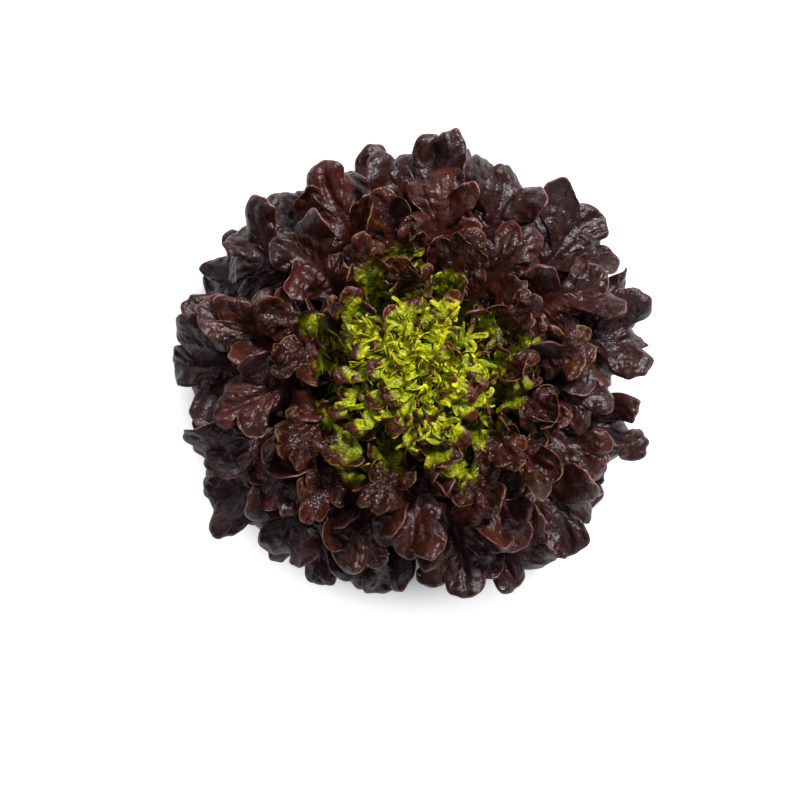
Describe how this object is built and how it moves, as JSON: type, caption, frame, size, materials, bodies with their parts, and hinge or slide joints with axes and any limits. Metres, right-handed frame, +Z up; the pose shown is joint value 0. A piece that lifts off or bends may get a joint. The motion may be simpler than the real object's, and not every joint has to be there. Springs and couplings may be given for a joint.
{
  "type": "head of lettuce",
  "caption": "Loose red oakleaf lettuce head: lobed dark maroon leaves spiral round a cut stem and a finely divided yellow-green heart.",
  "frame": {"origin": "centre of the stem's flat cut face, on the surface that the head stands on", "axes": "+Z up along the stem towards the heart; +X and +Y level, +X along the heading of the lowest leaf"},
  "size_m": [0.2796, 0.2813, 0.121],
  "materials": {
    "stem_flesh": "moist satin, pale green-white flesh with a slightly browned cut face",
    "outer_leaf": "satin waxy leaf, very dark maroon brown, paler and greener underneath",
    "middle_leaf": "satin waxy leaf, dark maroon brown with a thin red rim",
    "inner_leaf": "satin waxy leaf, red-brown lobes over olive green",
    "heart_leaf": "satin leaf, bright yellow-green with red-brown lobe ends",
    "heart_bud": "satin small leaves, bright yellow-green"
  },
  "bodies": {
    "root": {"stem": "stem_flesh", "heart_bud": "heart_bud", "outer_leaf_01": "outer_leaf", "outer_leaf_02": "outer_leaf", "outer_leaf_03": "outer_leaf", "outer_leaf_04": "outer_leaf", "outer_leaf_05": "outer_leaf", "outer_leaf_06": "outer_leaf", "outer_leaf_07": "outer_leaf", "outer_leaf_08": "outer_leaf", "outer_leaf_09": "outer_leaf", "outer_leaf_10": "outer_leaf", "outer_leaf_11": "outer_leaf", "outer_leaf_12": "outer_leaf", "outer_leaf_13": "outer_leaf", "middle_leaf_01": "middle_leaf", "middle_leaf_02": "middle_leaf", "middle_leaf_03": "middle_leaf", "middle_leaf_04": "middle_leaf", "middle_leaf_05": "middle_leaf", "middle_leaf_06": "middle_leaf", "middle_leaf_07": "middle_leaf", "middle_leaf_08": "middle_leaf", "middle_leaf_09": "middle_leaf", "middle_leaf_10": "middle_leaf", "middle_leaf_11": "middle_leaf", "middle_leaf_12": "middle_leaf", "middle_leaf_13": "middle_leaf", "inner_leaf_01": "inner_leaf", "inner_leaf_02": "inner_leaf", "inner_leaf_03": "inner_leaf", "inner_leaf_04": "inner_leaf", "inner_leaf_05": "inner_leaf", "inner_leaf_06": "inner_leaf", "inner_leaf_07": "inner_leaf", "inner_leaf_08": "inner_leaf", "inner_leaf_09": "inner_leaf", "inner_leaf_10": "inner_leaf", "inner_leaf_11": "inner_leaf", "inner_leaf_12": "inner_leaf", "inner_leaf_13": "inner_leaf", "heart_leaf_01": "heart_leaf", "heart_leaf_02": "heart_leaf", "heart_leaf_03": "heart_leaf", "heart_leaf_04": "heart_leaf", "heart_leaf_05": "heart_leaf", "heart_leaf_06": "heart_leaf", "heart_leaf_07": "heart_leaf", "heart_leaf_08": "heart_leaf", "heart_leaf_09": "heart_leaf", "heart_leaf_10": "heart_leaf", "heart_leaf_11": "heart_leaf", "heart_leaf_12": "heart_leaf", "heart_leaf_13": "heart_leaf", "heart_leaf_14": "heart_leaf", "heart_leaf_15": "heart_leaf", "heart_leaf_16": "heart_leaf", "heart_leaf_17": "heart_leaf", "heart_leaf_18": "heart_leaf", "heart_leaf_19": "heart_leaf"}
  },
  "joints": []
}
